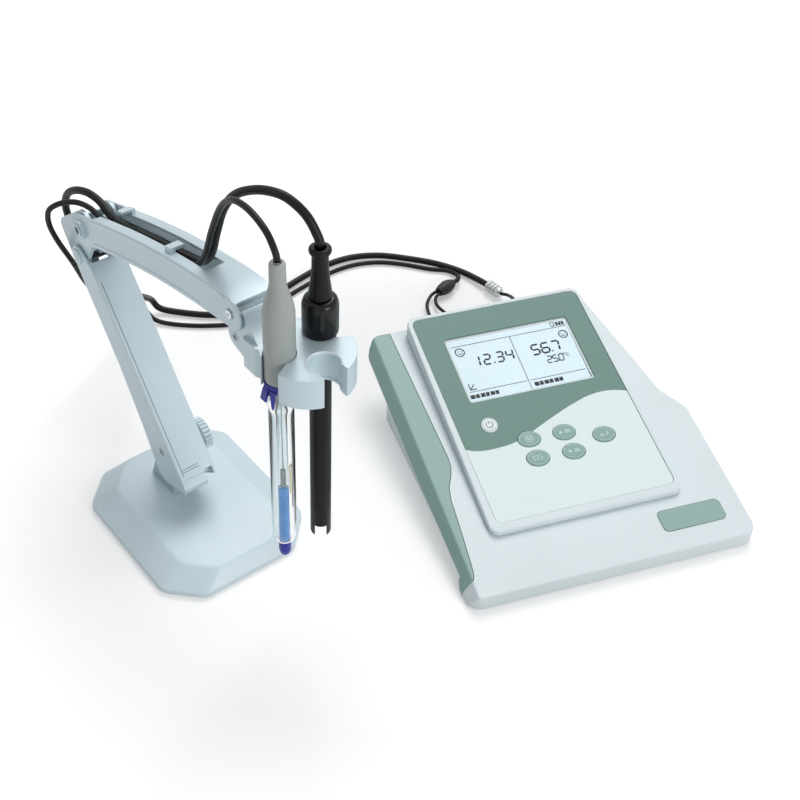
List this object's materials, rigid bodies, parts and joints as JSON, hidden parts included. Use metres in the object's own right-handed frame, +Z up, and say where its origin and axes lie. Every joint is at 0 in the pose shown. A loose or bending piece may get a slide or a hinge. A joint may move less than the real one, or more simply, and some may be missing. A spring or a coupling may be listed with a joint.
{
  "type": "bench ph meter",
  "caption": "Sloping bench pH and conductivity meter with display and press keys, wired to electrodes in a jointed parallel-arm stand with a weighted base.",
  "frame": {"origin": "On the table, under the middle of the box round the meter and the stand", "axes": "+X to the meter's right along its front edge, +Y to its rear, +Z up"},
  "size_m": [0.3938, 0.3553, 0.2872],
  "materials": {
    "case_white": "moulded white plastic with a fine spark texture",
    "tub_white": "moulded off-white plastic",
    "sage_green": "moulded sage green plastic",
    "panel_print": "printed film, sage green above a pale wave",
    "window_clear": "clear display window",
    "lcd_pale": "pale liquid crystal display",
    "key_white": "white key",
    "key_green": "sage green key",
    "board_green": "circuit board",
    "rubber_dark": "soft dark rubber",
    "panel_grey": "grey plastic",
    "bright_metal": "plated connector metal",
    "stand_metal": "pale blue-grey painted weight",
    "stand_blue": "pale blue-grey moulded plastic",
    "stand_shade": "blue-grey moulded plastic",
    "steel": "steel pivot",
    "spring_black": "black spring wire",
    "cap_grey": "grey moulded cap",
    "clear_tube": "clear tube",
    "stem_blue": "blue inner stem",
    "royal_blue": "royal blue plastic",
    "probe_black": "smooth black plastic",
    "lead_black": "black cable sheath"
  },
  "bodies": {
    "base": {"top_case": "case_white", "side_rail": "sage_green", "name_plate": "sage_green", "bottom_case": "tub_white", "foot_1": "rubber_dark", "foot_2": "rubber_dark", "foot_3": "rubber_dark", "foot_4": "rubber_dark", "panel_frame": "case_white", "panel_overlay": "panel_print", "lcd_window": "window_clear", "lcd_module": "lcd_pale", "main_board": "board_green", "rear_panel": "panel_grey", "bnc_socket": "bright_metal", "temp_socket": "bright_metal", "cell_socket": "panel_grey", "dc_inlet": "probe_black", "bnc_plug": "bright_metal", "temp_plug": "probe_black", "cell_plug": "probe_black", "stand_base": "stand_metal", "pivot_post": "stand_shade", "pivot_bolt": "steel", "ph_lead_table": "lead_black", "cell_lead_table": "lead_black", "lead_splitter": "rubber_dark", "lead_ferrule": "bright_metal", "lead_bnc": "lead_black", "lead_temp": "lead_black", "lead_cell": "lead_black"},
    "lower_arm": {"lower_arm": "stand_blue", "elbow_spring": "spring_black", "ph_lead_drop": "lead_black", "cell_lead_drop": "lead_black"},
    "lower_link": {"lower_link": "stand_shade"},
    "elbow_bracket": {"elbow_bracket": "stand_blue", "ph_lead_loop": "lead_black", "cell_lead_loop": "lead_black"},
    "upper_arm": {"upper_arm": "stand_blue", "ph_lead_front": "lead_black", "cell_lead_front": "lead_black"},
    "upper_link": {"upper_link": "stand_shade"},
    "head": {"electrode_head": "stand_blue", "ph_cap": "cap_grey", "refill_ring": "royal_blue", "ph_body": "clear_tube", "ph_stem": "stem_blue", "ph_tip": "royal_blue", "cell_boot": "lead_black", "cell_collar": "probe_black", "cell_tube": "probe_black"},
    "tension_knob": {"tension_knob": "stand_shade"},
    "key_power": {"key_power": "key_white"},
    "key_hold": {"key_hold": "key_green"},
    "key_up": {"key_up": "key_green"},
    "key_enter": {"key_enter": "key_green"},
    "key_mode": {"key_mode": "key_green"},
    "key_down": {"key_down": "key_green"}
  },
  "joints": [
    {"name": "lower_arm_tilt", "type": "hinge", "parent": "base", "child": "lower_arm", "pos_m": [-0.13921, 0.02544, 0.0486], "axis": [0.9432, 0.3322, 0], "range_deg": [-8, 22], "deforming": ["ph_lead_table", "cell_lead_table"]},
    {"name": "lower_link_tilt", "type": "hinge", "parent": "base", "child": "lower_link", "pos_m": [-0.14154, 0.03204, 0.04294], "axis": [0.9432, 0.3322, 0], "range_deg": [-8, 22]},
    {"name": "elbow_level", "type": "hinge", "parent": "lower_arm", "child": "elbow_bracket", "pos_m": [-0.16642, 0.10269, 0.1499], "axis": [0.9432, 0.3322, 0], "range_deg": [-22, 8], "deforming": ["ph_lead_drop", "cell_lead_drop"]},
    {"name": "upper_arm_tilt", "type": "hinge", "parent": "elbow_bracket", "child": "upper_arm", "pos_m": [-0.16283, 0.0925, 0.177], "axis": [-0.9432, -0.3322, 0], "range_deg": [-13, 30], "deforming": ["ph_lead_loop", "cell_lead_loop"]},
    {"name": "upper_link_tilt", "type": "hinge", "parent": "elbow_bracket", "child": "upper_link", "pos_m": [-0.16283, 0.0925, 0.1606], "axis": [-0.9432, -0.3322, 0], "range_deg": [-13, 30]},
    {"name": "head_level", "type": "hinge", "parent": "upper_arm", "child": "head", "pos_m": [-0.10892, -0.06058, 0.2201], "axis": [-0.9432, -0.3322, 0], "range_deg": [-30, 13], "deforming": ["ph_lead_front", "cell_lead_front"]},
    {"name": "tension_knob_turn", "type": "hinge", "parent": "base", "child": "tension_knob", "pos_m": [-0.13921, 0.02544, 0.0486], "axis": [0.9432, 0.3322, 0], "continuous": true},
    {"name": "key_power_press", "type": "slide", "parent": "base", "child": "key_power", "axis": [0, 0.2062, -0.9785], "range_m": [0, 0.0006], "stiffness_N_per_m": 800, "springref_m": -0.0006},
    {"name": "key_hold_press", "type": "slide", "parent": "base", "child": "key_hold", "axis": [0, 0.2062, -0.9785], "range_m": [0, 0.0006], "stiffness_N_per_m": 800, "springref_m": -0.0006},
    {"name": "key_up_press", "type": "slide", "parent": "base", "child": "key_up", "axis": [0, 0.2062, -0.9785], "range_m": [0, 0.0006], "stiffness_N_per_m": 800, "springref_m": -0.0006},
    {"name": "key_enter_press", "type": "slide", "parent": "base", "child": "key_enter", "axis": [0, 0.2062, -0.9785], "range_m": [0, 0.0006], "stiffness_N_per_m": 800, "springref_m": -0.0006},
    {"name": "key_mode_press", "type": "slide", "parent": "base", "child": "key_mode", "axis": [0, 0.2062, -0.9785], "range_m": [0, 0.0006], "stiffness_N_per_m": 800, "springref_m": -0.0006},
    {"name": "key_down_press", "type": "slide", "parent": "base", "child": "key_down", "axis": [0, 0.2062, -0.9785], "range_m": [0, 0.0006], "stiffness_N_per_m": 800, "springref_m": -0.0006}
  ],
  "couplings": [
    {"joint": "lower_link_tilt", "follows": "lower_arm_tilt", "ratio": 1},
    {"joint": "elbow_level", "follows": "lower_arm_tilt", "ratio": -1},
    {"joint": "upper_link_tilt", "follows": "upper_arm_tilt", "ratio": 1},
    {"joint": "head_level", "follows": "upper_arm_tilt", "ratio": -1}
  ]
}
